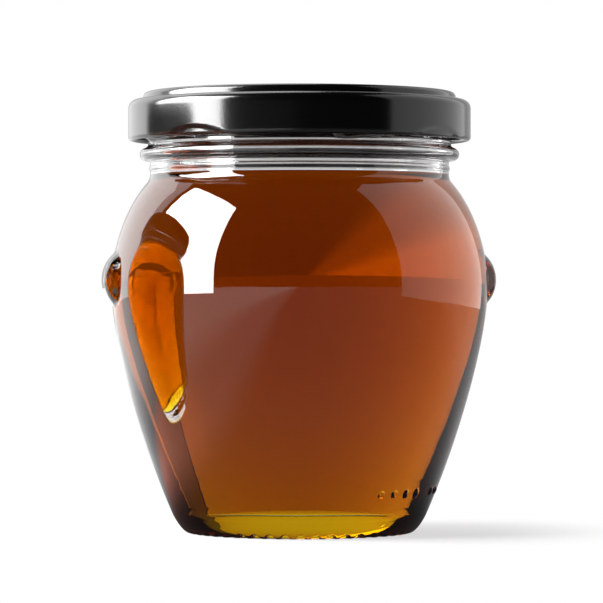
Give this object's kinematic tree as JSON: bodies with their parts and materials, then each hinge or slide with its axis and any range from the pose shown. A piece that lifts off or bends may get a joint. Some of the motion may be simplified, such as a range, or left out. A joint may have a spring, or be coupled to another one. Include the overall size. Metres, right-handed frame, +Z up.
{
  "type": "honey jar",
  "caption": "Pot-bellied clear glass jar with two small moulded ears, filled with dark amber honey and closed by a black twist-off cap.",
  "frame": {"origin": "middle of the bearing ring, on the surface that the jar stands on", "axes": "+Z up along the jar's axis; the two ears lie on the X axis; -Y is the front, with the row of mould dots to its right"},
  "size_m": [0.0764, 0.0728, 0.085],
  "materials": {
    "glass": "clear polished soda-lime glass",
    "honey": "clear dark amber honey",
    "cap": "gloss black lacquered tinplate"
  },
  "bodies": {
    "root": {"jar": "glass", "honey": "honey", "cap": "cap"}
  },
  "joints": []
}
